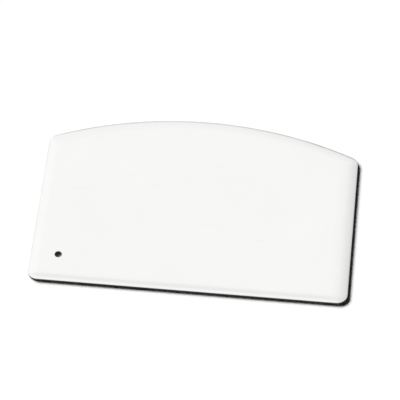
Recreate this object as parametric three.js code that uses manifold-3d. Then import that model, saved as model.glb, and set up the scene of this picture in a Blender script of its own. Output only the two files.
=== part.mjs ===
// Plastic dough scraper: one flat moulded plate with a straight edge, a curved edge and a hanging hole.
// Millimetres, lying flat on its underside: +X along the straight edge, +Y to the curved edge, +Z up.
// The origin is the middle of the plate's outline, on the underside.
import * as THREE from "three";
import { mergeVertices, toCreasedNormals } from "three/addons/utils/BufferGeometryUtils.js";
import Module from "manifold-3d";

// Outline, seen from above
const WIDTH = 190.5;
const HEIGHT = 127;
const CROWN_RADIUS = 232;
const CORNER_RADIUS = 6.5;

// Section across the edge: a thin rim with softened corners, then a slope up to the thicker middle
const BODY_THICKNESS = 2.6;
const RIM_THICKNESS = 2.2;
const SLOPE_WIDTH = 6.1;
const EDGE_ROUND = 0.4;

// Hanging hole, in the corner at the left end of the straight edge
const HOLE_DIAMETER = 4;
const HOLE_FROM_SIDE = 16.8;
const HOLE_FROM_STRAIGHT_EDGE = 18.7;
const HOLE_ROUND = 0.4;

// Fineness of the curved surfaces, and the sharpest corner that an inner outline may have
const CROWN_STEPS = 40;
const CORNER_STEPS = 12;
const SECTION_STEPS = 4;
const HOLE_STEPS = 32;
const LEAST_RADIUS = 0.3;

// The plate's outline moved inwards by inset, as a closed row of points, anticlockwise from the left side.
function outline(inset) {
  const corner = Math.max(CORNER_RADIUS - inset, LEAST_RADIUS);
  const crown = CROWN_RADIUS - inset;
  const crownY = HEIGHT / 2 - CROWN_RADIUS;
  const cornerX = WIDTH / 2 - inset - corner;
  const lowerY = -HEIGHT / 2 + inset + corner;
  const upperY = crownY + Math.sqrt((crown - corner) ** 2 - cornerX ** 2);
  const turn = Math.atan2(upperY - crownY, cornerX);

  function arc(x, y, radius, from, to, steps) {
    return new THREE.ArcCurve(x, y, radius, from, to).getPoints(steps);
  }
  return [
    ...arc(-cornerX, lowerY, corner, Math.PI, 1.5 * Math.PI, CORNER_STEPS),
    ...arc(cornerX, lowerY, corner, 1.5 * Math.PI, 2 * Math.PI, CORNER_STEPS),
    ...arc(cornerX, upperY, corner, 0, turn, CORNER_STEPS),
    ...arc(0, crownY, crown, turn, Math.PI - turn, CROWN_STEPS).slice(1, -1),
    ...arc(-cornerX, upperY, corner, Math.PI - turn, Math.PI, CORNER_STEPS),
  ];
}

// The section across the edge: x is how far in from the outline, y is the height above the underside.
function edgeSection() {
  const slopeMiddle = (EDGE_ROUND + SLOPE_WIDTH) / 2;
  const steepness = (BODY_THICKNESS - RIM_THICKNESS) / (slopeMiddle - EDGE_ROUND);
  const section = new THREE.Path();
  section.moveTo(EDGE_ROUND, 0);
  section.quadraticCurveTo(0, 0, 0, EDGE_ROUND);
  section.lineTo(0, RIM_THICKNESS - EDGE_ROUND);
  section.quadraticCurveTo(0, RIM_THICKNESS - steepness * EDGE_ROUND, EDGE_ROUND, RIM_THICKNESS);
  section.quadraticCurveTo(slopeMiddle, BODY_THICKNESS, SLOPE_WIDTH, BODY_THICKNESS);
  return section.getPoints(SECTION_STEPS);
}

// A closed skin over the outlines that the section gives, from the underside up, with flat ends.
function plateGeometry() {
  const rings = edgeSection().map(({ x, y }) => outline(x).map((p) => new THREE.Vector3(p.x, p.y, y)));
  const count = rings[0].length;
  const last = (rings.length - 1) * count;
  const faces = [];
  for (let level = 0; level + 1 < rings.length; level += 1) {
    for (let i = 0; i < count; i += 1) {
      const a = level * count + i;
      const b = level * count + ((i + 1) % count);
      faces.push(a, b, b + count, a, b + count, a + count);
    }
  }
  for (const [a, b, c] of THREE.ShapeUtils.triangulateShape(outline(EDGE_ROUND), [])) {
    faces.push(c, b, a);
  }
  for (const [a, b, c] of THREE.ShapeUtils.triangulateShape(outline(SLOPE_WIDTH), [])) {
    faces.push(last + a, last + b, last + c);
  }
  const geometry = new THREE.BufferGeometry().setFromPoints(rings.flat());
  geometry.setIndex(faces);
  return geometry;
}

// The hanging hole with its softened mouths, as a turned solid that stands through the plate.
function holeGeometry() {
  const radius = HOLE_DIAMETER / 2;
  const mouth = radius + HOLE_ROUND;
  const profile = new THREE.Path();
  profile.moveTo(0, -HOLE_ROUND);
  profile.lineTo(mouth, -HOLE_ROUND);
  profile.lineTo(mouth, 0);
  profile.quadraticCurveTo(radius, 0, radius, HOLE_ROUND);
  profile.lineTo(radius, BODY_THICKNESS - HOLE_ROUND);
  profile.quadraticCurveTo(radius, BODY_THICKNESS, mouth, BODY_THICKNESS);
  profile.lineTo(mouth, BODY_THICKNESS + HOLE_ROUND);
  profile.lineTo(0, BODY_THICKNESS + HOLE_ROUND);
  const geometry = new THREE.LatheGeometry(profile.getPoints(SECTION_STEPS), HOLE_STEPS);
  geometry.rotateX(Math.PI / 2);
  geometry.translate(HOLE_FROM_SIDE - WIDTH / 2, HOLE_FROM_STRAIGHT_EDGE - HEIGHT / 2, 0);
  return geometry;
}

const wasm = await Module();
wasm.setup();

// A solid to cut or be cut: its faces share their corners.
function solidFrom(geometry) {
  const mergeDistance = 1e-4;
  const bare = geometry.clone();
  bare.deleteAttribute("normal");
  bare.deleteAttribute("uv");
  const merged = mergeVertices(bare, mergeDistance);
  const vertProperties = new Float32Array(merged.attributes.position.array);
  const triVerts = new Uint32Array(merged.index.array);
  return new wasm.Manifold(new wasm.Mesh({ numProp: 3, vertProperties, triVerts }));
}

// The cut solid as a mesh, shaded smooth up to the crease angle.
function geometryFrom(solid) {
  const creaseAngle = Math.PI / 6;
  const mesh = solid.getMesh();
  const geometry = new THREE.BufferGeometry();
  geometry.setAttribute("position", new THREE.BufferAttribute(mesh.vertProperties, 3));
  geometry.setIndex(new THREE.BufferAttribute(mesh.triVerts, 1));
  return toCreasedNormals(geometry, creaseAngle);
}

// The scraper is a single moulding, so the plate and its hole are one mesh.
const plate = new THREE.Mesh(
  geometryFrom(solidFrom(plateGeometry()).subtract(solidFrom(holeGeometry()))),
  new THREE.MeshStandardMaterial({ color: 0xf3f3f2, roughness: 0.65, metalness: 0 }),
);
plate.name = "scraper_plate";

const scraper = new THREE.Group();
scraper.name = "dough_scraper";
scraper.add(plate);

export default scraper;
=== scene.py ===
import math

import bmesh
import bpy
from mathutils import Matrix, Vector
from mathutils.geometry import interpolate_bezier


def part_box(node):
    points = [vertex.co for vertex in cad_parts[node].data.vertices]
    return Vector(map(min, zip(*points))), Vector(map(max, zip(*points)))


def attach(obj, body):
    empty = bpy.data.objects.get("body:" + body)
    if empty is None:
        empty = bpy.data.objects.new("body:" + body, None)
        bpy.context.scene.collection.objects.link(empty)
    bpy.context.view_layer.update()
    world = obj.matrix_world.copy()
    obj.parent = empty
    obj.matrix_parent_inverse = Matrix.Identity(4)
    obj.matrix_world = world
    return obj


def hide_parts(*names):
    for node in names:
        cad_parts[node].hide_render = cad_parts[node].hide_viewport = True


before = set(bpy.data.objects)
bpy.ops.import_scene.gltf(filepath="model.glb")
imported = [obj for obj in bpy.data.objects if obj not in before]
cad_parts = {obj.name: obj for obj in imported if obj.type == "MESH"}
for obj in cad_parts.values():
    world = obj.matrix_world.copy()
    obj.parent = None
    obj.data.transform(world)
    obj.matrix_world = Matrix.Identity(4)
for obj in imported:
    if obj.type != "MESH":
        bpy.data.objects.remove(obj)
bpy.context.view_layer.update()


# The view is through a long lens that looks down on the plate as it lies on a table, from the front and a
# little to the right, so the right-hand end comes nearer and the straight edge runs slightly downhill.
view_azimuth = math.radians(5.6)
view_elevation = math.radians(53.72)
view_distance = 1.634
view_target = Vector((0.00163, 0.00385, 0.0019))


# The way from the plate to what stands round it: azimuth 0 is in front, and 90 degrees is to the right.
def direction(azimuth, elevation):
    reach = math.cos(elevation)
    return Vector((math.sin(azimuth) * reach, -math.cos(azimuth) * reach, math.sin(elevation)))


towards_camera = direction(view_azimuth, view_elevation)
camera_data = bpy.data.cameras.new("view_camera")
camera_data.sensor_width = 36
camera_data.lens = 243
camera_data.clip_start = 0.01
camera_data.clip_end = 200
camera = bpy.data.objects.new("view_camera", camera_data)
camera.location = view_target + towards_camera * view_distance
camera.rotation_euler = towards_camera.to_track_quat("Z", "Y").to_euler()
bpy.context.scene.collection.objects.link(camera)
bpy.context.scene.camera = camera


# The scraper plate is one injection moulding in white polypropylene, with a straight edge, a curved edge
# and rounded corners. Its upper face slopes down to a thinner rim, the mould softens every edge, and the
# small hole through one corner is there to hang it by.
low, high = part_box("scraper_plate")
width = high.x - low.x
height = high.y - low.y
body_thickness = high.z
rim_thickness = 0.0022
slope_width = 0.0061
edge_round = 0.0004
crown_radius = 0.232
corner_radius = 0.0065
hole_radius = 0.002
hole_round = 0.0004
hole_from_side = 0.0168
hole_from_straight_edge = 0.0187
hole_centre = Vector((low.x + hole_from_side, low.y + hole_from_straight_edge, 0))

# Narrow flat strips where the edges and the hole meet the flat faces keep the shading of those faces even.
flat_strip = 0.0003

# Fineness of the mesh, and how near two of its points may lie before they count as one.
round_steps = 6
slope_steps = 16
corner_steps = 20
crown_steps = 120
hole_steps = 64
touching = 1e-6
mesh = bmesh.new()


# A bend from start to end, pulled towards the corner where the straight lines through them would meet.
def bend(start, corner, end, steps):
    start, corner, end = Vector(start), Vector(corner), Vector(end)
    return interpolate_bezier(start, start.lerp(corner, 2 / 3), end.lerp(corner, 2 / 3), end, steps + 1)


# New points in a row, each joined to the next. The rows are then turned or drawn out into walls.
def joined_row(points):
    row = [mesh.verts.new(point) for point in points]
    return [mesh.edges.new(pair) for pair in zip(row, row[1:])]


def parts_of(kind, swept):
    return [part for part in swept if isinstance(part, kind)]


def turned(edges, centre, angle, steps):
    swept = bmesh.ops.spin(
        mesh, geom=edges, cent=centre, axis=(0, 0, 1), angle=angle, steps=steps, use_duplicate=False,
    )
    return parts_of(bmesh.types.BMEdge, swept["geom_last"])


def drawn_out(edges, way):
    swept = bmesh.ops.extrude_edge_only(mesh, edges=edges)["geom"]
    bmesh.ops.translate(mesh, vec=way, verts=parts_of(bmesh.types.BMVert, swept))
    return parts_of(bmesh.types.BMEdge, swept)


# The section across the edge, inwards and upwards: the rim's rounded foot and head, then the slope.
slope_middle = (edge_round + slope_width) / 2
steepness = (body_thickness - rim_thickness) / (slope_middle - edge_round)
rim_foot = bend((edge_round, 0), (0, 0), (0, edge_round), round_steps)
rim_head = bend(
    (0, rim_thickness - edge_round),
    (0, rim_thickness - steepness * edge_round),
    (edge_round, rim_thickness),
    round_steps,
)
slope = bend(
    (edge_round, rim_thickness),
    (slope_middle, body_thickness),
    (slope_width, body_thickness),
    slope_steps,
)
edge_section = [
    (edge_round + flat_strip, 0),
    *rim_foot,
    *rim_head,
    *slope[1:],
    (slope_width + flat_strip, body_thickness),
]

# The section goes once round: it turns about each corner and the crown, and is drawn out between them.
corner_x = width / 2 - corner_radius
lower_y = corner_radius - height / 2
crown_y = height / 2 - crown_radius
upper_y = crown_y + math.sqrt((crown_radius - corner_radius) ** 2 - corner_x ** 2)
shoulder = math.atan2(upper_y - crown_y, corner_x)
edges = joined_row([(low.x + inset, lower_y, level) for inset, level in edge_section])
edges = turned(edges, (-corner_x, lower_y, 0), math.pi / 2, corner_steps)
edges = drawn_out(edges, (2 * corner_x, 0, 0))
edges = turned(edges, (corner_x, lower_y, 0), math.pi / 2, corner_steps)
edges = drawn_out(edges, (0, upper_y - lower_y, 0))
edges = turned(edges, (corner_x, upper_y, 0), shoulder, corner_steps)
edges = turned(edges, (0, crown_y, 0), math.pi - 2 * shoulder, crown_steps)
edges = turned(edges, (-corner_x, upper_y, 0), shoulder, corner_steps)
drawn_out(edges, (0, lower_y - upper_y, 0))
bmesh.ops.remove_doubles(mesh, verts=mesh.verts, dist=touching)

# The hole's wall and its two rounded mouths turn about the hole's own axis.
hole_mouth = hole_radius + hole_round
hole_foot = bend((hole_mouth, 0), (hole_radius, 0), (hole_radius, hole_round), round_steps)
hole_head = bend(
    (hole_radius, body_thickness - hole_round),
    (hole_radius, body_thickness),
    (hole_mouth, body_thickness),
    round_steps,
)
hole_section = [
    (hole_mouth + flat_strip, 0),
    *hole_foot,
    *hole_head,
    (hole_mouth + flat_strip, body_thickness),
]
edges = joined_row([hole_centre + Vector((reach, 0, level)) for reach, level in hole_section])
bmesh.ops.spin(
    mesh, geom=edges, cent=hole_centre, axis=(0, 0, 1), angle=2 * math.pi, steps=hole_steps,
    use_merge=True, use_duplicate=False,
)

# The flat faces close the plate below and above, round the hole.
for level in (0, body_thickness):
    rings = [
        edge for edge in mesh.edges
        if edge.is_boundary and all(abs(end.co.z - level) < touching for end in edge.verts)
    ]
    bmesh.ops.triangle_fill(mesh, edges=rings, use_beauty=True)
bmesh.ops.recalc_face_normals(mesh, faces=mesh.faces)
for face in mesh.faces:
    face.smooth = True
plate_mesh = bpy.data.meshes.new("scraper_moulding")
mesh.to_mesh(plate_mesh)
mesh.free()
plate = bpy.data.objects.new("scraper_moulding", plate_mesh)
bpy.context.scene.collection.objects.link(plate)


# Adds a node to a material or to the room's light: settings by name, and inputs as values or as links.
def add_node(tree, kind, inputs=(), **settings):
    node = tree.nodes.new("ShaderNode" + kind)
    for setting, value in settings.items():
        setattr(node, setting, value)
    for socket, value in dict(inputs).items():
        if isinstance(value, bpy.types.NodeSocket):
            tree.links.new(value, node.inputs[socket])
        else:
            node.inputs[socket].default_value = value
    return node


plastic = bpy.data.materials.new("white_polypropylene")
plastic.use_nodes = True
plastic_tree = plastic.node_tree
place = add_node(plastic_tree, "TexCoord").outputs["Object"]


def arithmetic(operation, first, second=0.0):
    return add_node(plastic_tree, "Math", {0: first, 1: second}, operation=operation).outputs["Value"]


def vector_arithmetic(operation, first, second, output):
    return add_node(plastic_tree, "VectorMath", {0: first, 1: second}, operation=operation).outputs[output]


# Turns values between start and end into values between first and last, and holds them level outside.
def remapped(value, start, end, first, last, way="LINEAR"):
    inputs = {"Value": value, "From Min": start, "From Max": end, "To Min": first, "To Max": last}
    return add_node(plastic_tree, "MapRange", inputs, interpolation_type=way).outputs["Result"]


def fade(distance, full_within, gone_beyond, strength=1.0):
    return remapped(distance, full_within, gone_beyond, strength, 0.0, "SMOOTHSTEP")


def clouds(size, detail):
    inputs = {"Vector": place, "Scale": 1 / size, "Detail": detail, "Roughness": 0.6}
    return add_node(plastic_tree, "TexNoise", inputs).outputs["Fac"]


# How far each point lies in from the straight edge, the curved edge, the sides and the hole's wall.
flat_place = vector_arithmetic("MULTIPLY", place, (1, 1, 0), "Vector")
along = add_node(plastic_tree, "SeparateXYZ", {"Vector": flat_place}).outputs
from_straight = arithmetic("ADD", along["Y"], height / 2)
from_left = arithmetic("ADD", along["X"], width / 2)
from_right = arithmetic("SUBTRACT", width / 2, along["X"])
crown_reach = vector_arithmetic("DISTANCE", flat_place, (0, crown_y, 0), "Value")
from_curve = arithmetic("SUBTRACT", crown_radius, crown_reach)
hole_reach = vector_arithmetic("DISTANCE", flat_place, hole_centre, "Value")
from_hole = arithmetic("SUBTRACT", hole_reach, hole_radius)

# The rim is thinner than the middle. Painted shade greys the white towards the curved edge and the sides,
# widest on the right, away from the lamps. A painted highlight makes the straight edge pale, up to a faint
# painted grey line.
shade_line_inset = 0.0032
from_shade_line = arithmetic("ABSOLUTE", arithmetic("SUBTRACT", from_straight, shade_line_inset))
painted_rim_shade = fade(from_curve, full_within=0.0, gone_beyond=0.008)
for rim_shade_band in (
    fade(from_left, full_within=0.0, gone_beyond=0.006, strength=0.7),
    fade(from_right, full_within=0.0, gone_beyond=0.013, strength=0.7),
    fade(from_shade_line, full_within=0.0004, gone_beyond=0.0018, strength=0.45),
):
    painted_rim_shade = arithmetic("MAXIMUM", painted_rim_shade, rim_shade_band)
# Painted highlight: the straight edge is coloured pale to lift the shade of its slope.
painted_edge_highlight = fade(from_straight, full_within=0.001, gone_beyond=0.0024)

# Scuffs, in patches, partly wear and partly painted shade: the sides are worn dull where they have met
# bowls and boards.
# Painted shade darkens the curved edge more, and most of all at its right-hand end, which turns away from
# the lamps.
# Painted shade rises along the curved edge towards its right-hand end.
curve_shade_ramp = remapped(along["X"], start=0.04, end=0.065, first=0.7, last=1.0)
curve_scuff_and_shade = arithmetic("MULTIPLY", curve_shade_ramp, fade(from_curve, full_within=0.0004, gone_beyond=0.0017))
from_side = arithmetic("MINIMUM", from_left, from_right)
side_scuff_and_shade = fade(from_side, full_within=0.0002, gone_beyond=0.0014, strength=0.36)
scuff_and_shade_patches = remapped(clouds(size=0.012, detail=4), start=0.3, end=0.6, first=0.55, last=1.0)
scuff_and_shade = arithmetic("MULTIPLY", scuff_and_shade_patches, arithmetic("MAXIMUM", curve_scuff_and_shade, side_scuff_and_shade))

# Hairline scratches, in patches, along three of the ways that the plate is pushed and pulled.
scratches = 0.0
for degrees, length, gap in ((8, 0.09, 0.0021), (-24, 0.06, 0.0027), (71, 0.045, 0.0034)):
    inputs = {
        "Vector": flat_place,
        "Rotation": (0, 0, math.radians(degrees)),
        "Scale": (1 / length, 1 / gap, 1),
    }
    stroke = add_node(plastic_tree, "Mapping", inputs).outputs["Vector"]
    inputs = {"Vector": stroke, "Scale": 1.0, "Detail": 1.0}
    ripple = add_node(plastic_tree, "TexNoise", inputs).outputs["Fac"]
    crossing = arithmetic("ABSOLUTE", arithmetic("SUBTRACT", ripple, 0.5))
    scratches = arithmetic("MAXIMUM", scratches, fade(crossing, full_within=0.0, gone_beyond=0.012))
scratch_patches = remapped(clouds(size=0.028, detail=2), start=0.5, end=0.68, first=0.0, last=1.0)
scratches = arithmetic("MULTIPLY", scratches, scratch_patches)
faint_scratches = arithmetic("MULTIPLY", scratches, 0.12)

# Colour: a neutral white with faint flow marks and grey scratches, and painted light and shade: a painted
# highlight along the straight edge, painted shade at the rim and in the hole, and scuffs that are partly
# wear and partly painted shade.
flow_marks = clouds(size=0.045, detail=3)
# Painted shade: the hole's wall is coloured dark grey to stand in for the shade inside it.
hole_painted_shade = fade(from_hole, full_within=0.0, gone_beyond=0.0005)
colour = (0.885, 0.885, 0.876, 1)
for mask, shade in (
    (flow_marks, (0.915, 0.915, 0.908, 1)),
    (painted_edge_highlight, (0.98, 0.98, 0.975, 1)),
    (faint_scratches, (0.72, 0.72, 0.70, 1)),
    (painted_rim_shade, (0.785, 0.785, 0.775, 1)),
    (scuff_and_shade, (0.40, 0.40, 0.39, 1)),
    (hole_painted_shade, (0.24, 0.24, 0.23, 1)),
):
    inputs = {"Factor": mask, "A": colour, "B": shade}
    colour = add_node(plastic_tree, "Mix", inputs, data_type="RGBA").outputs["Result"]

# Gloss: a soft satin, uneven where hands and dough have polished it, duller in scratches and scuffs.
satin = remapped(clouds(size=0.02, detail=4), start=0.3, end=0.7, first=0.64, last=0.74)
dulling = arithmetic("ADD", faint_scratches, arithmetic("MULTIPLY", scuff_and_shade, 0.15))
roughness = arithmetic("ADD", satin, dulling)

# Surface: the fine grain that the mould leaves, with the scratches cut into it.
grain_depth = 0.000008
grain = clouds(size=0.0005, detail=1)
relief = arithmetic("SUBTRACT", grain, arithmetic("MULTIPLY", scratches, 0.8))
surface = add_node(plastic_tree, "Bump", {"Height": relief, "Strength": 0.6, "Distance": grain_depth})

plastic_shader = plastic_tree.nodes["Principled BSDF"]
plastic_shader.inputs["IOR"].default_value = 1.49
plastic_shader.inputs["Specular IOR Level"].default_value = 0.16
plastic_tree.links.new(colour, plastic_shader.inputs["Base Color"])
plastic_tree.links.new(roughness, plastic_shader.inputs["Roughness"])
plastic_tree.links.new(surface.outputs["Normal"], plastic_shader.inputs["Normal"])
plate_mesh.materials.append(plastic)
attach(plate, "root")
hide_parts("scraper_plate")


# The table is a plain white top that the plate lies on. The camera and gloss see it white, but it throws
# little light back up, so the shadow along the plate's edges stays dark.
table_half_size = 40
table_gap = 0.00005
table_mesh = bpy.data.meshes.new("table")
mesh = bmesh.new()
bmesh.ops.create_grid(
    mesh, x_segments=1, y_segments=1, size=table_half_size, matrix=Matrix.Translation((0, 0, -table_gap)),
)
mesh.to_mesh(table_mesh)
mesh.free()
table = bpy.data.objects.new("table", table_mesh)
bpy.context.scene.collection.objects.link(table)


# A grey that the camera, gloss and clear things see, and another that lights everything else.
def two_greys(tree, seen, unseen):
    ray = add_node(tree, "LightPath").outputs
    mask = ray["Is Camera Ray"]
    for other in (ray["Is Glossy Ray"], ray["Is Transmission Ray"]):
        mask = add_node(tree, "Math", {0: mask, 1: other}, operation="MAXIMUM").outputs["Value"]
    inputs = {"Factor": mask, "A": (unseen, unseen, unseen, 1), "B": (seen, seen, seen, 1)}
    return add_node(tree, "Mix", inputs, data_type="RGBA").outputs["Result"]


table_top = bpy.data.materials.new("white_table")
table_top.use_nodes = True
table_tree = table_top.node_tree
table_shader = table_tree.nodes["Principled BSDF"]
table_shader.inputs["Roughness"].default_value = 1
table_shader.inputs["Specular IOR Level"].default_value = 0
table_tree.links.new(two_greys(table_tree, seen=1, unseen=0.03), table_shader.inputs["Base Color"])
table_mesh.materials.append(table_top)


# The light comes from a row of three large soft lamps far off behind the left end, and a little of it from
# all round, from a room that the camera sees white.
lamp_elevation = math.radians(39.5)
for degrees in (-107, -121, -135):
    lamp_data = bpy.data.lights.new("soft_lamp", "SUN")
    lamp_data.energy = 1.66
    lamp_data.angle = math.radians(26)
    lamp = bpy.data.objects.new("soft_lamp", lamp_data)
    towards_lamp = direction(math.radians(degrees), lamp_elevation)
    lamp.rotation_euler = towards_lamp.to_track_quat("Z", "Y").to_euler()
    bpy.context.scene.collection.objects.link(lamp)

room = bpy.data.worlds.new("room")
room.use_nodes = True
room_tree = room.node_tree
room_shader = room_tree.nodes["Background"]
room_tree.links.new(two_greys(room_tree, seen=1, unseen=0.012), room_shader.inputs["Color"])
bpy.context.scene.world = room
bpy.context.scene.view_settings.view_transform = "Standard"
